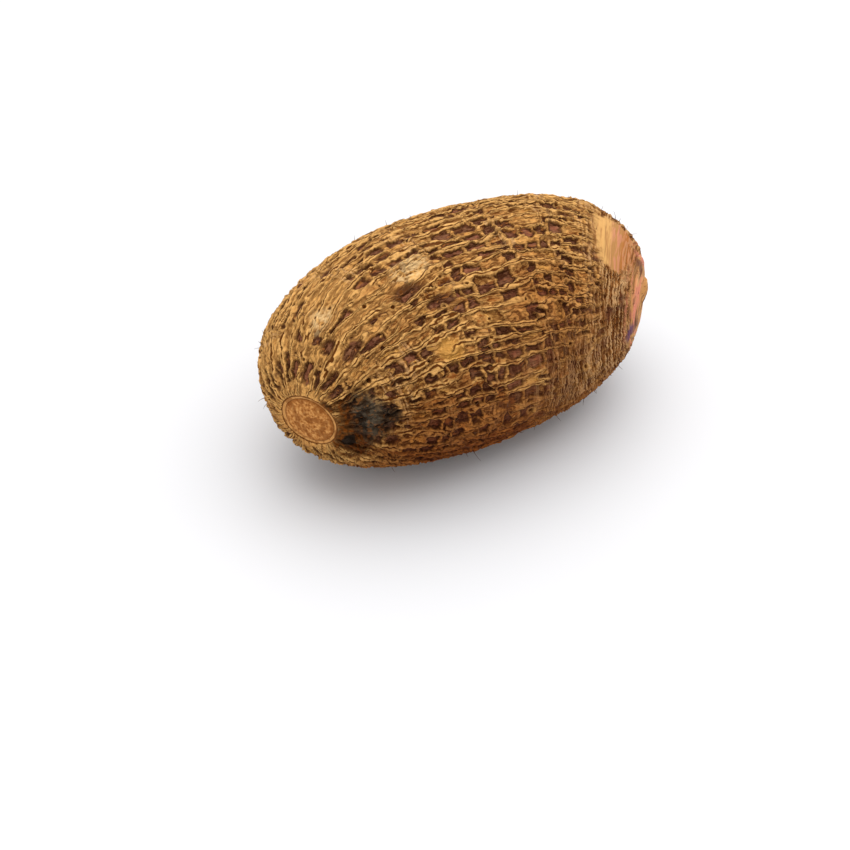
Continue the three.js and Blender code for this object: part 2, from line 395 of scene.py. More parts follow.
def ridge_fields(tree, part, bent):
    """Adds the cracks, the ridges' cells and the ring scars to the parts."""
    along = lay(tree, "ShaderNodeSeparateXYZ", {0: bent})
    turn = lay(tree, "ShaderNodeMath", {0: along.outputs["Y"], 1: along.outputs["Z"]},
               operation="ARCTAN2")
    fingers = lay(tree, "ShaderNodeMath", {0: part["finger"], 1: FINGER_LENGTH, 2: along},
                  operation="MULTIPLY_ADD")
    ridge_turn, band_start, ridge_width = ridge_turns[0], 0, RIDGE_WIDTHS[0]
    to_ring = FAR_FROM_RING
    for ring, turn_step, width_step in zip(rings, np.diff(ridge_turns), np.diff(RIDGE_WIDTHS)):
        past = lay(tree, "ShaderNodeMath", {0: fingers, 1: ring + FINGER_LENGTH / 2},
                   operation="GREATER_THAN")
        ridge_turn = lay(tree, "ShaderNodeMath", {0: past, 1: turn_step, 2: ridge_turn},
                         operation="MULTIPLY_ADD")
        ridge_width = lay(tree, "ShaderNodeMath", {0: past, 1: width_step, 2: ridge_width},
                          operation="MULTIPLY_ADD")
        band_start = lay(tree, "ShaderNodeMath", {0: past, 1: BAND_SHIFT, 2: band_start},
                         operation="MULTIPLY_ADD")
        apart = lay(tree, "ShaderNodeMath", {0: along, 1: ring}, operation="SUBTRACT")
        apart = lay(tree, "ShaderNodeMath", {0: apart}, operation="ABSOLUTE")
        to_ring = lay(tree, "ShaderNodeMath", {0: apart, 1: to_ring}, operation="MINIMUM")
    part["to_ring"] = to_ring
    ridge = lay(tree, "ShaderNodeMath", {0: turn, 1: ridge_turn, 2: band_start},
                operation="MULTIPLY_ADD")
    counted = {"W": ridge, "Scale": 1, "Randomness": RIDGE_UNEVENNESS}
    ridge_edge = lay(tree, "ShaderNodeTexVoronoi", counted, feature="DISTANCE_TO_EDGE",
                     voronoi_dimensions="1D")
    ridge_id = lay(tree, "ShaderNodeTexVoronoi", counted, voronoi_dimensions="1D")
    to_crack = lay(tree, "ShaderNodeMath", {0: ridge_edge, 1: ridge_width}, operation="MULTIPLY")
    part["to_crack"] = lay(tree, "ShaderNodeMath",
                           {0: part["speck"], 1: EDGE_ROUGHNESS, 2: to_crack},
                           operation="MULTIPLY_ADD")
    part["to_foot"] = lay(tree, "ShaderNodeMath",
                          {0: part["mottle"], 1: FOOT_ROUGHNESS, 2: part["to_crack"]},
                          operation="MULTIPLY_ADD")

    cells_along = lay(tree, "ShaderNodeMath", {0: along, 1: CELL_LENGTH}, operation="DIVIDE")
    ridge_dice = lay(tree, "ShaderNodeSeparateXYZ", {0: ridge_id.outputs["Color"]})
    shuffled = lay(tree, "ShaderNodeMath", {0: ridge_dice, 1: CELL_SHUFFLE, 2: cells_along},
                   operation="MULTIPLY_ADD")
    counted = {"W": shuffled, "Scale": 1, "Randomness": CELL_UNEVENNESS}
    rung_edge = lay(tree, "ShaderNodeTexVoronoi", counted, feature="DISTANCE_TO_EDGE",
                    voronoi_dimensions="1D")
    rung_id = lay(tree, "ShaderNodeTexVoronoi", counted, voronoi_dimensions="1D")
    both_ids = lay(tree, "ShaderNodeVectorMath",
                   {0: ridge_id.outputs["Color"], 1: rung_id.outputs["Color"]}, operation="ADD")
    cell_id = lay(tree, "ShaderNodeTexWhiteNoise", {"Vector": both_ids})
    part["cell_dice"] = lay(tree, "ShaderNodeSeparateXYZ", {0: cell_id.outputs["Color"]})
    part["cell_shade"] = part["cell_dice"].outputs["Y"]
    to_rung = lay(tree, "ShaderNodeMath", {0: rung_edge, 1: CELL_LENGTH}, operation="MULTIPLY")
    part["to_rung"] = to_rung
    past_rung = lay(tree, "ShaderNodeMath", {0: to_rung, 1: RUNG_WIDTH / 2}, operation="SUBTRACT")
    past_lip = lay(tree, "ShaderNodeMath", {0: to_crack, 1: LIP_WIDTH}, operation="SUBTRACT")
    inner = lay(tree, "ShaderNodeMath", {0: past_lip, 1: past_rung, 2: CORNER_ROUNDING},
                operation="SMOOTH_MIN")
    part["cell_depth"] = lay(tree, "ShaderNodeMath",
                             {0: part["mottle"], 1: FLAKE_ROUGHNESS, 2: inner},
                             operation="MULTIPLY_ADD")


# %% [markdown]
# Some places have a look of their own: the patch where the skin was scraped off, the pale bare
# spots, single old flakes, bars of a broken ring scar, the dark stain and the charred spot beside
# the base scar, and the pink and purple spots by the crown. Others are wide and only shift the
# look: the light shoulder with fewer flakes, the fibrous part, and the parts of the front that get
# painted shade. Each is an oval on the skin with a ragged edge.

# %% Places with a look of their own
SPOTS = {  # ovals: mm from the base's pole, degrees around, half length, half width, softness
    "peeled": [(185, 5, 13, 20, 0.25)],
    "row": [(19, -8, 7, 36, 0.3)],
    "light": [(38, -28, 36, 36, 0.8)],
    "bar": [(54, 46, 3, 6, 0.4), (48, 57, 3, 6, 0.4), (43, 69, 3, 6, 0.4), (39, 83, 3, 7, 0.4)],
    "old_flake": [
        (34, 5, 5, 3, 0.4), (37, 23, 6, 3, 0.4), (71, 20, 7, 3.5, 0.4), (81, 33, 7, 3, 0.4),
    ],
    "gold": [(72, 56, 6, 5, 0.5)],
    "pale": [(42, -10, 6, 5, 0.7), (80, 9, 7, 5, 0.7)],
    "fibres": [(158, 100, 36, 20, 1.4)],
    # The shaded and low_front ovals only carry painted shade.
    "shaded": [(140, 62, 34, 24, 0.8)],
    "low_front": [(72, 105, 52, 26, 0.6)],
    "stain": [(18, 92, 9, 22, 0.5), (13, 42, 2, 6, 0.4)],
    "charred": [(26, 76, 7, 14, 0.7), (31, 78, 8, 5, 0.7)],
    "burnt": [(17, 107, 3, 5, 0.3)],
    "salmon": [(205, 66, 4.5, 15, 0.5)],
    "purple": [(200, 102, 4, 5.5, 0.7)],
    # The first dark_tip oval is painted shade on the lower front of the crown end.
    "dark_tip": [
        (204, 108, 4, 6, 0.7), (191, 57, 2, 4, 1), (203, -8, 2.5, 9, 0.9), (182, 68, 2.5, 4, 0.7),
    ],
}
SPOT_RAGGEDNESS = 1.6  # how far the edge wanders, as a share of the oval's half size
SPOT_EDGE = 1 + SPOT_RAGGEDNESS / 2
print(sum(len(ovals) for ovals in SPOTS.values()), "ovals for", len(SPOTS), "kinds of place")


def spot_fields(tree, part, growth):
    """Adds each spot's mask to the parts: the strongest of its ovals."""
    for name, ovals in SPOTS.items():
        part[name] = 0
        for mm_along, degrees, half_length, half_width, softness in ovals:
            away = lay(tree, "ShaderNodeVectorMath", {0: growth, 1: growth_at(mm_along, degrees)},
                       operation="SUBTRACT")
            shares = lay(tree, "ShaderNodeVectorMath",
                         {0: away, 1: (half_length, half_width, half_width)}, operation="DIVIDE")
            apart = lay(tree, "ShaderNodeVectorMath", {0: shares}, operation="LENGTH")
            uneven = lay(tree, "ShaderNodeMath", {0: part["blotch"], 1: SPOT_RAGGEDNESS, 2: apart},
                         operation="MULTIPLY_ADD")
            oval = lay(tree, "ShaderNodeMapRange",
                       {0: uneven, 1: SPOT_EDGE + softness, 2: SPOT_EDGE - softness},
                       interpolation_type="SMOOTHSTEP")
            part[name] = lay(tree, "ShaderNodeMath", {0: oval, 1: part[name]}, operation="MAXIMUM")


# %% [markdown]
# The parts of the skin, such as a crack, its lip or a flake, are read off these fields: each rises
# smoothly from nothing to full between two values of one field. A table names the field and the
# two values. A second table says which parts are held back, and by what: towards the crown fibres
# cover the cracks, the collar around the base scar has none, and some cracks never opened.

# %% Parts of the skin, as steps of the fields
FIBROUS_FROM, FIBROUS_TO = SKIN_LENGTH - 58, SKIN_LENGTH - 32
FIBRE_RAGGEDNESS = 56  # mm, how far the edge of the fibrous part wanders
CROWN_EDGE = SKIN_LENGTH - CROWN_SCAR
STEPS = {  # the field it is read from, where it starts, where it is full
    "fibrous": (
        "ragged_along", FIBROUS_FROM + FIBRE_RAGGEDNESS / 2, FIBROUS_TO + FIBRE_RAGGEDNESS / 2,
    ),
    "opened": ("open", 0.3, 0.45),
    "valley": ("fold", 0.53, 0.38),
    "crest": ("fold", 0.5, 0.64),
    "wrinkle_line": ("from_wrinkle", 0.07, 0.035),
    "wrinkle_lip": ("from_wrinkle", 0.16, 0.1),
    "inside": ("cell_depth", 0.4, 1.6),
    "heart": ("cell_depth", 1.2, 2.6),
    "crack": ("to_crack", 0.5, 0.25),
    "lip": ("to_foot", 2.5, 1.8),
    "lip_top": ("to_foot", 2.05, 1.7),
    "lip_foot": ("to_foot", 3.2, 2.5),
    "rung": ("to_rung", 0.9, 0.4),
    "ring": ("to_ring", 1.0, 0.4),
    "ring_zone": ("to_ring", 4.5, 2.5),
    "ring_broken": ("patch", 0.42, 0.55),
    "pit": ("pit_distance", 1.3, 0.8),
    "pit_rim": ("pit_distance", 2.5, 1.7),
    "past_base": ("along", BASE_SCAR - 0.3, BASE_SCAR + 2),
    "past_collar": ("along", BASE_SCAR + 1, BASE_SCAR + 8),
    "to_crown": ("along", CROWN_EDGE + 0.3, CROWN_EDGE - 3),
}
print("skin is fibrous from", round(FIBROUS_FROM), "to", round(FIBROUS_TO), "mm on")

# %% What holds each part back
HELD_BACK = {  # which parts, by the part that masks them
    "opened": ("crack", "lip", "lip_top", "lip_foot", "rung"),
    "split_skin": ("inside", "wrinkle_line", "wrinkle_lip"),
    "old_skin": ("valley", "crest"),
    "ring_broken": ("ring", "ring_zone"),
}
FLAKE_SHARE = 0.63  # of the cells, how many hold a flake
FLAKE_SWAY = {"patch": 1.2, "light": -0.35, "row": 0.6}  # how much more or fewer in these places
FIBRES_HIDE = 0.8  # how much of the cracks and flakes the fibres hide
LIGHT_HIDES = 0.5  # how much of the folds the light shoulder lacks
PIT_ROUGHNESS = 0.5  # mm, how far specks eat into the edge of a pit
print(sum(len(names) for names in HELD_BACK.values()), "parts are held back somewhere")


# %% The whole recipe
def skin_pattern(tree, growth, pit):
    """Lays the skin's pattern and returns its parts by name. Distances are in millimetres."""
    part, bent = noise_fields(tree, growth)
    part["along"] = lay(tree, "ShaderNodeSeparateXYZ", {0: growth})
    part["pit_distance"] = lay(tree, "ShaderNodeMath",
                               {0: part["speck"], 1: PIT_ROUGHNESS, 2: pit},
                               operation="MULTIPLY_ADD")
    part["ragged_along"] = lay(tree, "ShaderNodeMath",
                               {0: part["blotch"], 1: FIBRE_RAGGEDNESS, 2: part["along"]},
                               operation="MULTIPLY_ADD")
    from_wrinkle = lay(tree, "ShaderNodeMath", {0: part["wrinkle"], 1: NOISE_MIDDLE},
                       operation="SUBTRACT")
    part["from_wrinkle"] = lay(tree, "ShaderNodeMath", {0: from_wrinkle}, operation="ABSOLUTE")
    ridge_fields(tree, part, bent)
    spot_fields(tree, part, growth)
    for name, (source, start, full) in STEPS.items():
        part[name] = lay(tree, "ShaderNodeMapRange", {0: part[source], 1: start, 2: full},
                         interpolation_type="SMOOTHSTEP")

    part["fibrous"] = lay(tree, "ShaderNodeMath", {0: part["fibrous"], 1: part["fibres"]},
                          operation="MAXIMUM")
    solid_skin = lay(tree, "ShaderNodeMath", {0: part["fibrous"], 1: -FIBRES_HIDE, 2: 1},
                     operation="MULTIPLY_ADD")
    part["split_skin"] = lay(tree, "ShaderNodeMath", {0: solid_skin, 1: part["past_collar"]},
                             operation="MULTIPLY")
    part["opened"] = lay(tree, "ShaderNodeMath", {0: part["opened"], 1: solid_skin},
                         operation="MULTIPLY")
    old_skin = lay(tree, "ShaderNodeMath", {0: part["light"], 1: -LIGHT_HIDES, 2: 1},
                   operation="MULTIPLY_ADD")
    part["old_skin"] = lay(tree, "ShaderNodeMath", {0: old_skin, 1: part["past_collar"]},
                           operation="MULTIPLY")
    for mask, names in HELD_BACK.items():
        for name in names:
            part[name] = lay(tree, "ShaderNodeMath", {0: part[name], 1: part[mask]},
                             operation="MULTIPLY")
    part["ring_zone"] = lay(tree, "ShaderNodeMath", {0: part["ring_zone"], 1: part["bar"]},
                            operation="MAXIMUM")

    share = FLAKE_SHARE - FLAKE_SWAY["patch"] / 2
    for name, more in FLAKE_SWAY.items():
        share = lay(tree, "ShaderNodeMath", {0: part[name], 1: more, 2: share},
                    operation="MULTIPLY_ADD")
    chosen = lay(tree, "ShaderNodeMath", {0: part["cell_dice"], 1: share}, operation="LESS_THAN")
    flake = lay(tree, "ShaderNodeMath", {0: part["inside"], 1: chosen}, operation="MULTIPLY")
    part["flake"] = lay(tree, "ShaderNodeMath", {0: flake, 1: part["old_flake"]},
                        operation="MAXIMUM")
    part["skinned"] = lay(tree, "ShaderNodeMath", {0: part["past_base"], 1: part["to_crown"]},
                          operation="MULTIPLY")
    return part


# %% [markdown]
# ## Relief
# A small geometry-nodes modifier reads the recipe and pushes every point out or in along its normal:
# lips of cork stand up beside each crack, flakes lie lower, pits are dug. Sculpting hundreds of
# ridges by hand would take days, and a bump map would leave the outline smooth. The modifier is
# applied, so that the relief is real mesh. Nothing is pushed below the table, and the mesh is then
# thinned where it is smooth, which keeps its faces for the cracks.

# %% Height of the skin
GROUND_HEIGHT = 0.3
HEIGHTS = {  # mm
    "valley": -0.3,
    "crest": 0.25,
    "wrinkle_lip": 0.15,
    "wrinkle_line": -0.3,
    "ring": 0.25,
    "inside": -0.15,
    "flake": -0.7,
    "lip_foot": -0.25,
    "lip": 1.05,
    "crack": -0.3,
    "pit_rim": 0.25,
    "pit": -1.0,
}
ROUGHNESS_HEIGHTS = {"grain": 0.6, "mottle": 0.5}
STRAND_HEIGHT = 1.8
LAYER_HEIGHT = 0.9
print("lips stand", HEIGHTS["lip"], "mm up and flakes lie", -HEIGHTS["flake"], "mm down")


def relief_height(tree, part):
    """Height of the pattern in millimetres."""
    height = GROUND_HEIGHT - sum(ROUGHNESS_HEIGHTS.values()) / 2
    for name, rise in (HEIGHTS | ROUGHNESS_HEIGHTS).items():
        height = lay(tree, "ShaderNodeMath", {0: part[name], 1: rise, 2: height},
                     operation="MULTIPLY_ADD")
    strands = lay(tree, "ShaderNodeMath", {0: part["strand"], 1: NOISE_MIDDLE},
                  operation="SUBTRACT")
    strands = lay(tree, "ShaderNodeMath", {0: strands, 1: part["fibrous"]}, operation="MULTIPLY")
    height = lay(tree, "ShaderNodeMath", {0: strands, 1: STRAND_HEIGHT, 2: height},
                 operation="MULTIPLY_ADD")
    bare = lay(tree, "ShaderNodeMath", {0: 1, 1: part["peeled"]}, operation="SUBTRACT")
    cover = lay(tree, "ShaderNodeMath", {0: bare, 1: part["skinned"]}, operation="MULTIPLY")
    height = lay(tree, "ShaderNodeMath", {0: height, 1: cover}, operation="MULTIPLY")
    layers = lay(tree, "ShaderNodeMath", {0: part["layer"], 1: part["husk"]}, operation="ADD")
    layers = lay(tree, "ShaderNodeMath", {0: layers, 1: 2 * NOISE_MIDDLE}, operation="SUBTRACT")
    uncovered = lay(tree, "ShaderNodeMath", {0: 1, 1: cover}, operation="SUBTRACT")
    layers = lay(tree, "ShaderNodeMath", {0: layers, 1: uncovered}, operation="MULTIPLY")
    return lay(tree, "ShaderNodeMath", {0: layers, 1: LAYER_HEIGHT, 2: height},
               operation="MULTIPLY_ADD")


# %% Push the ridges out
relief = bpy.data.node_groups.new("skin_relief", "GeometryNodeTree")
relief.interface.new_socket("Geometry", in_out="INPUT", socket_type="NodeSocketGeometry")
relief.interface.new_socket("Geometry", in_out="OUTPUT", socket_type="NodeSocketGeometry")
mesh_in = lay(relief, "NodeGroupInput")
growth_read = lay(relief, "GeometryNodeInputNamedAttribute", {"Name": "growth"},
                  data_type="FLOAT_VECTOR")
pit_read = lay(relief, "GeometryNodeInputNamedAttribute", {"Name": "root_pit"},
               data_type="FLOAT")
part = skin_pattern(relief, growth_read.outputs["Attribute"], pit_read.outputs["Attribute"])
height = lay(relief, "ShaderNodeMath", {0: relief_height(relief, part), 1: MM},
             operation="MULTIPLY")
outward = lay(relief, "GeometryNodeInputNormal")
push = lay(relief, "ShaderNodeVectorMath", {0: outward.outputs["Normal"], "Scale": height},
           operation="SCALE")
moved = lay(relief, "GeometryNodeSetPosition", {"Geometry": mesh_in.outputs[0], "Offset": push})
lay(relief, "NodeGroupOutput", {0: moved})
lift = skin.modifiers.new("relief", "NODES")
lift.node_group = relief
bpy.ops.object.modifier_apply(modifier="relief")
print("relief recipe has", len(relief.nodes), "nodes")

# %% Thin the smooth places
MOST_TRIANGLES = 196_000
skin.data.calc_loop_triangles()
if len(skin.data.loop_triangles) > MOST_TRIANGLES:
    thin = skin.modifiers.new("thin", "DECIMATE")
    thin.ratio = MOST_TRIANGLES / len(skin.data.loop_triangles)
    bpy.ops.object.modifier_apply(modifier="thin")
places = vertex_places(skin.data)
places[:, 2] = np.maximum(places[:, 2], 0)
skin.data.vertices.foreach_set("co", (places * MM).ravel())
bpy.ops.object.shade_smooth()
print("skin has", len(skin.data.polygons), "faces after thinning")

# %% [markdown]
# ## Colours
# A material is built like paint: a ground colour, and thin coats over it. Each coat names its
# colour, the parts of the recipe that mask it, with the values between which each mask rises, and
# how strong it is. A wash is a coat of painted shade: it darkens the colours under it and lets them
# show, so it is multiplied in. This keeps light ridges light, which an opaque coat wouldn't.

# %% Colours
COLOURS = {
    "cork": "#c68b47",
    "cork_brown": "#9a5f2b",
    "pale_cork_and_highlight": "#d8a25c",
    "cork_gold": "#d39a48",
    "painted_ridge_highlight": "#e0ac66",
    "rust": "#80420b",
    "streak_and_shade": "#502603",
    "crack": "#5a300a",
    "flake": "#603624",
    "flake_light": "#8c6042",
    "flake_dark": "#48240f",
    "flake_red": "#965a40",
    "painted_flake_shade": "#3e1c08",
    "pale": "#e8c38b",
    "soil": "#3f1d03",
    "painted_shade_wash": "#c0966a",
    "char": "#261b12",
    "ash": "#5a5346",
    "peeled": "#a87846",
    "peeled_light": "#ca9a5c",
    "peeled_pink": "#b8745c",
    "orange_brown": "#9c5a22",
    "grey_brown": "#704726",
    "strand": "#c39868",
    "root_hair": "#54300f",
    "scar": "#b3763c",
    "scar_light": "#cf9656",
    "scar_brown": "#80481a",
    "crown_pink": "#cf7d63",
    "crown_light": "#d8a468",
    "crown_gold": "#b58149",
    "crown_purple": "#5c3a58",
    "crown_dark": "#5a2f1a",
    "paper": "#d4d4d6",
}
print(len(COLOURS), "colours")


def linear(name):
    """The named colour as linear red, green, blue and alpha."""
    code = COLOURS[name].lstrip("#")
    shares = [int(code[i:i + 2], 16) / 255 for i in (0, 2, 4)]
    return (*[s / 12.92 if s <= 0.04045 else ((s + 0.055) / 1.055) ** 2.4 for s in shares], 1)


def coated(tree, part, ground, coats):
    """The ground colour with coats over it: each a colour, a strength and masks by part name.

    A wash darkens what lies under it, and any other coat covers it."""
    colour = linear(ground)
    for name, strength, masks in coats:
        for source, (low, high) in masks.items():
            rise = lay(tree, "ShaderNodeMapRange", {0: part[source], 1: low, 2: high},
                       interpolation_type="SMOOTHSTEP")
            strength = lay(tree, "ShaderNodeMath", {0: rise, 1: strength}, operation="MULTIPLY")
        blend = "MULTIPLY" if name.endswith("wash") else "MIX"
        colour = lay(tree, "ShaderNodeMix", {0: strength, 6: colour, 7: linear(name)},
                     data_type="RGBA", blend_type=blend)
    return colour


def skin_material(name):
    """An empty material with the skin's recipe laid in it: the material, its tree and the parts."""
    made = bpy.data.materials.new(name)
    made.use_nodes = True
    tree = made.node_tree
    tree.nodes.clear()
    growth_read = lay(tree, "ShaderNodeAttribute", attribute_name="growth")
    pit_read = lay(tree, "ShaderNodeAttribute", attribute_name="root_pit")
    part = skin_pattern(tree, growth_read.outputs["Vector"], pit_read.outputs["Fac"])
    part["place"] = lay(tree, "ShaderNodeTexCoord").outputs["Object"]
    part["height"] = lay(tree, "ShaderNodeSeparateXYZ", {0: part["place"]}).outputs["Z"]
    return made, tree, part


# %% A dull surface
def surfaced(tree, colour, bumps, bump_strength, roughness, specular):
    """Ends a material: its colour, a fine bump of given heights in millimetres, and its dullness."""
    bump = lay(tree, "ShaderNodeBump", {"Height": bumps, "Distance": MM, "Strength": bump_strength})
    surface = lay(tree, "ShaderNodeBsdfPrincipled", {
        "Base Color": colour,
        "Roughness": roughness,
        "Specular IOR Level": specular,
        "Normal": bump,
    })
    lay(tree, "ShaderNodeOutputMaterial", {"Surface": surface})


# %% [markdown]
# ## Dry cork skin
# The skin is cork: dead cells full of air, dried in the open. Cell walls have an IOR near 1.5, the
# shader's own, but their broken surface sends almost nothing back as a mirror would. So the
# specular level is far below a smooth solid's and the roughness is high, and the eye gets a matt,
# warm brown that turns dark only in the cracks.
#
# Its coats come in the order in which the real skin got them, each group in a short cell: young
# cork, the ridges, the old flakes between them, the fibres near the crown, cracks and pits, and
# then what soil, rot and heat did to it. Painted highlights and painted shade go in among them.

# %% Young cork
FULL = (0, 1)  # the values of a part that is already a mask
YOUNG_CORK = (
    ("cork_brown", 1, {"patch": (0.58, 0.4)}),
    ("cork_brown", 0.5, {"inside": FULL}),
    ("rust", 0.7, {"blotch": (0.5, 0.66)}),
    ("cork_gold", 0.7, {"inside": FULL, "cell_shade": (0.76, 0.82)}),
    ("pale_cork_and_highlight", 0.5, {"light": FULL, "mottle": (0.3, 0.55)}),
    ("pale_cork_and_highlight", 0.5, {"along": (BASE_SCAR + 8, BASE_SCAR + 3)}),
    ("streak_and_shade", 0.3, {"mottle": (0.46, 0.34)}),
)
print(len(YOUNG_CORK), "coats of young cork")

# %% Ridges, and the lips of cork beside each crack
RIDGES = (
    # Painted highlight on the crests of the folds, and painted shade in their valleys.
    ("pale_cork_and_highlight", 0.5, {"crest": FULL}),
    ("streak_and_shade", 0.65, {"valley": FULL}),
    ("pale_cork_and_highlight", 0.4, {"wrinkle_lip": FULL}),
    ("streak_and_shade", 0.75, {"wrinkle_line": FULL}),
    # Painted shade at the foot of each lip.
    ("streak_and_shade", 0.75, {"lip_foot": FULL}),
    ("pale_cork_and_highlight", 0.35, {"rung": FULL}),
    ("pale_cork_and_highlight", 0.55, {"lip": FULL}),
    # A painted highlight along the top of each lip.
    ("painted_ridge_highlight", 0.6, {"lip_top": FULL}),
    ("strand", 0.6, {"ring_zone": FULL, "strand": (0.48, 0.6)}),
    ("streak_and_shade", 0.7, {"ring_zone": FULL, "strand": (0.48, 0.36)}),
    ("pale_cork_and_highlight", 0.5, {"ring": FULL, "ring_zone": FULL}),
    ("streak_and_shade", 0.4, {"grain": (0.52, 0.64)}),
    ("pale_cork_and_highlight", 0.4, {"grain": (0.46, 0.34)}),
    ("pale_cork_and_highlight", 0.2, {"light": FULL}),
)
print(len(RIDGES), "coats on the ridges")

# %% Flakes of old skin
# Old skin is redder than the cork, and one flake differs from the next. Painted shade darkens the
# rim of each sunken flake and the valleys of its folds.
FLAKES = (
    ("painted_flake_shade", 0.95, {"flake": FULL}),
    ("flake", 1, {"flake": FULL, "heart": FULL}),
    ("flake_dark", 0.9, {"flake": FULL, "heart": FULL, "cell_shade": (0.34, 0.24)}),
    ("flake_red", 0.8, {"flake": FULL, "heart": FULL, "cell_shade": (0.7, 0.76)}),
    ("painted_flake_shade", 0.7, {"flake": FULL, "fold": (0.5, 0.36)}),
    ("flake_light", 0.5, {"flake": FULL, "heart": FULL, "mottle": (0.5, 0.6)}),
    ("flake_light", 0.4, {"flake": FULL, "grain": (0.5, 0.62)}),
    ("cork_brown", 0.7, {"flake": FULL, "fold": (0.58, 0.68)}),
    ("cork_gold", 0.55, {"gold": FULL}),
    # Painted shade on the flakes and at the feet of the lips on the lower front.
    ("painted_flake_shade", 0.2, {"low_front": FULL, "flake": FULL}),
    ("streak_and_shade", 0.2, {"low_front": FULL, "lip_foot": FULL}),
)
print(len(FLAKES), "coats on the flakes")

# %% Fibres near the crown
FIBRES = (
    ("grey_brown", 0.6, {"fibrous": FULL}),
    ("orange_brown", 0.3, {"fibrous": FULL, "blotch": (0.48, 0.6)}),
    ("flake", 0.8, {"fibrous": FULL, "blotch": (0.48, 0.4)}),
    ("strand", 0.9, {"fibrous": FULL, "strand": (0.51, 0.59)}),
    ("streak_and_shade", 0.95, {"fibrous": FULL, "strand": (0.49, 0.41)}),
    ("pale_cork_and_highlight", 0.5, {"fibrous": FULL, "lip": FULL}),
)
print(len(FIBRES), "coats on the fibres")

# %% Cracks, root pits and bare spots
OPENINGS = (
    ("crack", 1, {"crack": FULL}),
    ("pale_cork_and_highlight", 0.4, {"pit_rim": FULL}),
    ("crack", 1, {"pit": FULL}),
    ("pale", 0.75, {"pale": FULL, "mottle": (0.35, 0.55)}),
)
print(len(OPENINGS), "coats in the openings")

# %% Soil, stains, the charred spot and painted shade
STAINS = (
    ("soil", 0.9, {"stain": FULL}),
    ("rust", 0.6, {"stain": FULL, "mottle": (0.48, 0.6)}),
    ("char", 0.9, {"charred": FULL}),
    ("ash", 0.5, {"charred": FULL, "blotch": (0.44, 0.54)}),
    ("ash", 0.4, {"charred": FULL, "grain": (0.5, 0.6)}),
    ("cork_brown", 0.5, {"charred": FULL, "mottle": (0.56, 0.66)}),
    ("char", 0.6, {"charred": FULL, "mottle": (0.46, 0.36)}),
    ("char", 1, {"burnt": FULL}),
    # Painted shade, multiplied in: on the front towards the crown, on the lower front, and on the
    # underside near the table.
    ("painted_shade_wash", 0.5, {"shaded": FULL}),
    ("painted_shade_wash", 0.75, {"low_front": FULL}),
    ("painted_shade_wash", 0.8, {"height": (0.04, 0.018), "along": (24, 40)}),
)
print(len(STAINS), "coats of soil and char")

# %% [markdown]
# At the crown the leaf stalks were cut off. Torn leaf bases are left around the scar, and above
# them the skin was scraped down to its inner layers, which run from yellow through pink to brown
# towards the scar. The salmon, purple and dark spots go on over both the skin and the scar.

# %% Crown end
CROWN_PLACES = {  # mm along, where a band towards the crown starts and where it is full
    "yellow": (SKIN_LENGTH - 35, SKIN_LENGTH - 39),
    "pink": (SKIN_LENGTH - 38, SKIN_LENGTH - 34),
    "orange": (SKIN_LENGTH - 33, SKIN_LENGTH - 28),
    "brown": (SKIN_LENGTH - 28, SKIN_LENGTH - 22),
    "husks": (SKIN_LENGTH - 26, SKIN_LENGTH - 20),
}
CROWN_END = (
    ("crown_gold", 0.6, {"along": CROWN_PLACES["husks"]}),
    ("crown_dark", 0.7, {"along": CROWN_PLACES["husks"], "husk": (0.46, 0.36)}),
    ("crown_pink", 0.8, {"along": CROWN_PLACES["husks"], "husk": (0.5, 0.58)}),
    ("streak_and_shade", 0.7, {"along": CROWN_PLACES["husks"], "strand": (0.46, 0.36)}),
    ("peeled", 1, {"peeled": FULL}),
    ("peeled_light", 0.8, {"peeled": FULL, "along": CROWN_PLACES["yellow"], "layer": (0.35, 0.5)}),
    ("peeled_light", 0.7, {"peeled": FULL, "layer": (0.46, 0.56)}),
    ("peeled_pink", 0.8, {"peeled": FULL, "along": CROWN_PLACES["pink"], "layer": (0.46, 0.54)}),
    ("peeled", 0.8, {"peeled": FULL, "along": CROWN_PLACES["orange"], "layer": (0.5, 0.6)}),
    ("orange_brown", 0.8, {"peeled": FULL, "along": CROWN_PLACES["orange"], "layer": (0.56, 0.46)}),
    ("grey_brown", 0.8, {"peeled": FULL, "along": CROWN_PLACES["brown"], "layer": (0.52, 0.42)}),
    ("crown_dark", 0.8, {"peeled": FULL, "along": CROWN_PLACES["brown"], "layer": (0.4, 0.3)}),
)
CROWN_SPOTS = (
    ("crown_pink", 0.85, {"salmon": FULL, "layer": (0.4, 0.54)}),
    ("crown_purple", 0.9, {"purple": FULL}),
    # The dark_tip oval at 204 mm and 108 degrees is painted shade on the lower front of the crown
    # end.
    ("crown_dark", 0.8, {"dark_tip": FULL}),
)
print(len(CROWN_END) + len(CROWN_SPOTS), "coats at the crown end")

# %% Corky skin
cork, tree, part = skin_material("dry_cork_skin")
colour = coated(tree, part, "cork", (
    YOUNG_CORK + RIDGES + FLAKES + FIBRES + OPENINGS + STAINS + CROWN_END + CROWN_SPOTS
))
surfaced(tree, colour, relief_height(tree, part), bump_strength=0.8, roughness=0.8, specular=0.08)
print("cork material has", len(tree.nodes), "nodes")

# %% [markdown]
# ## Dried base scar
# Here the corm broke off its mother plant. The wound healed to a thin dry callus over starchy
# flesh: orange-brown, dappled, as matt as the cork, with a pale line just inside its dark rim. It
# follows the same growth coordinates, so its rings are true circles around the base's pole.

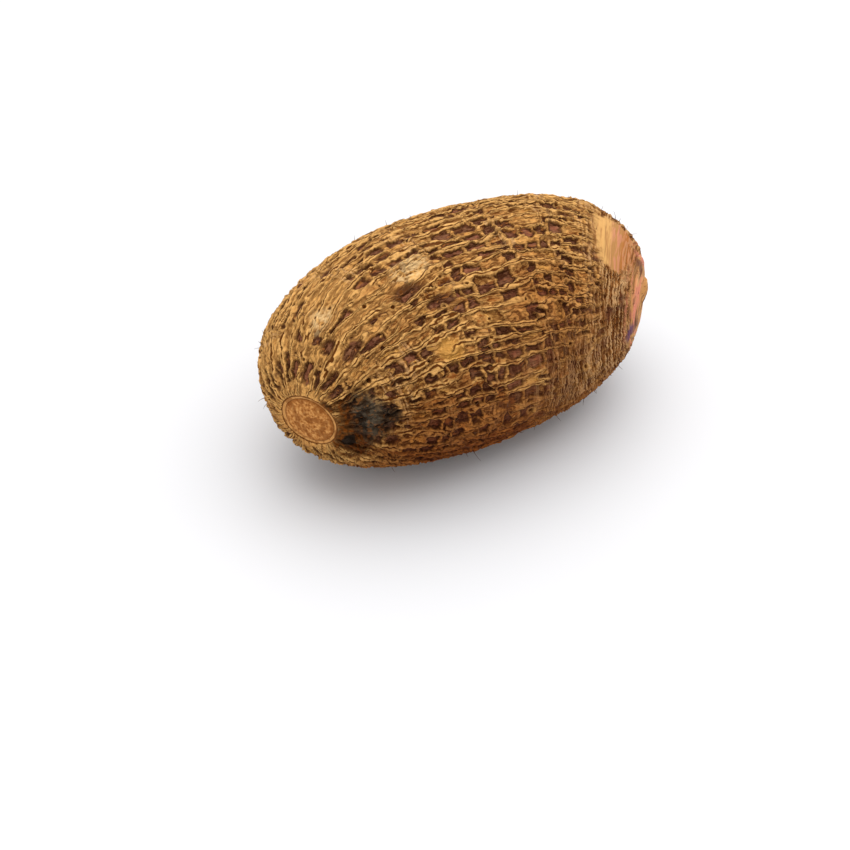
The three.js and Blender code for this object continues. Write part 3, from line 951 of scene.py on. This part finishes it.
# %% Base scar
SCAR_GRAIN = {  # size in mm, detail
    "cell": (1.1, 3),  # starchy cells: a real one is 0.2 mm, drawn coarser so that it shows
    "dapple": (4, 2),  # dried vessels
}
base_scar, tree, part = skin_material("dried_base_scar")
for name, (size, detail) in SCAR_GRAIN.items():
    part[name] = lay(tree, "ShaderNodeTexNoise",
                     {"Vector": part["place"], "Scale": 1 / (size * MM), "Detail": detail})
colour = coated(tree, part, "scar", (
    ("scar_light", 0.8, {"cell": (0.5, 0.62)}),
    ("scar_brown", 0.7, {"dapple": (0.52, 0.38)}),
    ("scar_brown", 0.8, {"cell": (0.46, 0.36)}),
    ("scar_brown", 0.6, {"along": (8.8, 9.8)}),
    ("streak_and_shade", 0.6, {"along": (9.9, 10.2)}),
    ("scar_light", 0.9, {"along": (10.2, 10.5)}),
    ("scar_brown", 0.6, {"along": (10.2, 10.5), "dapple": (0.5, 0.44)}),
    ("streak_and_shade", 0.9, {"along": (11.2, 11.6)}),
))
surfaced(tree, colour, part["cell"], bump_strength=0.8, roughness=0.8, specular=0.08)
print("base scar has", len(tree.nodes), "nodes")

# %% [markdown]
# ## Leaf-stalk scar
# The cut stalks left a ringed scar of moist, pink-tinged tissue. It dried less than the cork did,
# so it is a little smoother and catches a little more light.

# %% Crown scar
crown_scar, tree, part = skin_material("leaf_stalk_scar")
colour = coated(tree, part, "crown_gold", (
    ("crown_pink", 0.9, {"husk": (0.48, 0.58), "along": (SKIN_LENGTH - 9, SKIN_LENGTH - 13)}),
    ("crown_light", 0.6, {"layer": (0.54, 0.64)}),
    ("crown_dark", 0.8, {"husk": (0.45, 0.36)}),
    ("crown_dark", 0.6, {"layer": (0.42, 0.34)}),
    ("crown_dark", 0.6, {"mottle": (0.42, 0.32)}),
    ("crown_dark", 0.8, {"along": (SKIN_LENGTH - 6, SKIN_LENGTH - 3)}),
) + CROWN_SPOTS)
surfaced(tree, colour, part["layer"], bump_strength=1, roughness=0.7, specular=0.15)
print("crown scar has", len(tree.nodes), "nodes")

# %% [markdown]
# ## One skin, three finishes
# The scars are part of the same skin, so they are not pieces of their own: each face takes the
# finish of the place that it lies in, read from the growth coordinates. The skin then stands in
# for the CAD solid.

# %% Give each face its material
skin.data.materials.clear()
for material in (cork, base_scar, crown_scar):
    skin.data.materials.append(material)
stored = np.empty(len(skin.data.vertices) * 3, dtype=np.float32)
skin.data.attributes["growth"].data.foreach_get("vector", stored)
vertex_along = stored.reshape(-1, 3)[:, 0]
for face in skin.data.polygons:
    face_along = vertex_along[list(face.vertices)].mean()
    face.material_index = (face_along < BASE_SCAR) + 2 * (face_along > CROWN_EDGE)
scar_faces = [face.material_index for face in skin.data.polygons if face.material_index]
print(scar_faces.count(1), "faces on the base scar,", scar_faces.count(2), "on the crown scar")

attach(skin, "root")
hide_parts("corm")

# %% [markdown]
# ## Root hairs
# Short broken ends of fine roots still stick out of the skin. Each is one bent line of a single
# curve object, thick at the foot and thin at the tip. The curve is then turned into a mesh.

# %% Where root hairs may stand
HAIR_MARGIN = 1.2 * MM  # how far a hair may reach out of the solid's own box
FEET_ABOVE = 12  # mm, so that no hair touches the table
FEET_FROM, FEET_TO = 20, SKIN_LENGTH - 22
feet = [
    i for i in range(len(places))
    if places[i, 2] > FEET_ABOVE and FEET_FROM < vertex_along[i] < FEET_TO
]
outermost = [(low[axis] - HAIR_MARGIN, high[axis] + HAIR_MARGIN) for axis in range(3)]
print(len(feet), "points may carry a hair")

# %% Draw the hairs as one curve
HAIRS = 220
HAIR_LENGTHS = (1.2, 4)
HAIR_RADIUS = 0.15
HAIR_POINTS = 5
HAIR_LEAN, HAIR_DROOP = 0.8, 0.5  # shares of its length
HAIR_ROOT = 0.1  # share of its length that stays in the skin
HAIR_TAPER = 0.75
strands = bpy.data.curves.new("root_hairs", "CURVE")
strands.dimensions = "3D"
strands.bevel_depth = HAIR_RADIUS * MM
strands.bevel_resolution = 1
strands.use_fill_caps = True
reaches = np.linspace(0, 1, HAIR_POINTS)
while len(strands.splines) < HAIRS:
    foot = skin.data.vertices[dice.choice(feet)]
    lean = Vector([dice.uniform(-HAIR_LEAN, HAIR_LEAN) for _ in range(3)])
    droop = Vector([dice.uniform(-HAIR_DROOP, HAIR_DROOP) for _ in range(3)])
    length = dice.uniform(*HAIR_LENGTHS) * MM
    way = (foot.normal + lean).normalized()
    trail = [foot.co + (way * (reach - HAIR_ROOT) + droop * reach**2) * length for reach in reaches]
    if not all(least < end < most for end, (least, most) in zip(trail[-1], outermost)):
        continue
    hair = strands.splines.new("POLY")
    hair.points.add(HAIR_POINTS - 1)
    for point, spot, reach in zip(hair.points, trail, reaches):
        point.co = (*spot, 1)
        point.radius = 1 - HAIR_TAPER * reach
print(len(strands.splines), "root hairs")

# %% [markdown]
# A dried root is a woody thread: darker than the cork, and as dull. It is too thin to show any
# grain, so its finish is one plain colour.

# %% Turn the hairs into a mesh
hairs = bpy.data.objects.new("root_hairs", strands)
bpy.context.collection.objects.link(hairs)
bpy.ops.object.select_all(action="DESELECT")
bpy.context.view_layer.objects.active = hairs
hairs.select_set(True)
bpy.ops.object.convert(target="MESH")
bpy.ops.object.shade_smooth()
dry_root = bpy.data.materials.new("dry_root")
dry_root.use_nodes = True
root_surface = dry_root.node_tree.nodes["Principled BSDF"]
root_surface.inputs["Base Color"].default_value = linear("root_hair")
root_surface.inputs["Roughness"].default_value = 0.8
hairs.data.materials.append(dry_root)
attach(hairs, "root")
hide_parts("corm")
print("root hairs have", len(hairs.data.polygons), "faces")

# %% [markdown]
# ## Floor and light
# The corm lies on a sheet of matt pale paper in an evenly white room. The room gives most of the
# light, so no side of the corm is black. One square softbox, two metres wide and high above, adds
# the light from the top and the soft shadow at the foot. Paper keeps a typical roughness, and its
# grey is set so that it turns white in this light.

# %% Floor
FLOOR_SIZE = 12
bpy.ops.mesh.primitive_plane_add(size=FLOOR_SIZE, location=(0, 0, 0))
floor = bpy.context.object
floor.name = "floor"
paper = bpy.data.materials.new("white_paper")
paper.use_nodes = True
paper_surface = paper.node_tree.nodes["Principled BSDF"]
paper_surface.inputs["Base Color"].default_value = linear("paper")
paper_surface.inputs["Roughness"].default_value = 0.6
floor.data.materials.append(paper)
print("floor is", FLOOR_SIZE, "m wide")

# %% Light
ROOM_STRENGTH = 1.03
SOFTBOX_PLACE = (0.2, 0.06, 1.38)
SOFTBOX_SIZE = 2
SOFTBOX_WATTS = 19
world = bpy.data.worlds.new("white_room")
bpy.context.scene.world = world
world.use_nodes = True
world.node_tree.nodes["Background"].inputs["Color"].default_value = (1, 1, 1, 1)
world.node_tree.nodes["Background"].inputs["Strength"].default_value = ROOM_STRENGTH
bpy.ops.object.light_add(type="AREA", location=SOFTBOX_PLACE)
lamp = bpy.context.object
lamp.name = "softbox"
lamp.data.shape = "SQUARE"
lamp.data.size = SOFTBOX_SIZE
lamp.data.energy = SOFTBOX_WATTS
lamp.rotation_euler = lamp.location.to_track_quat("Z", "Y").to_euler()
bpy.context.scene.view_settings.view_transform = "Standard"
print("softbox hangs", round(lamp.location.length, 2), "m away")
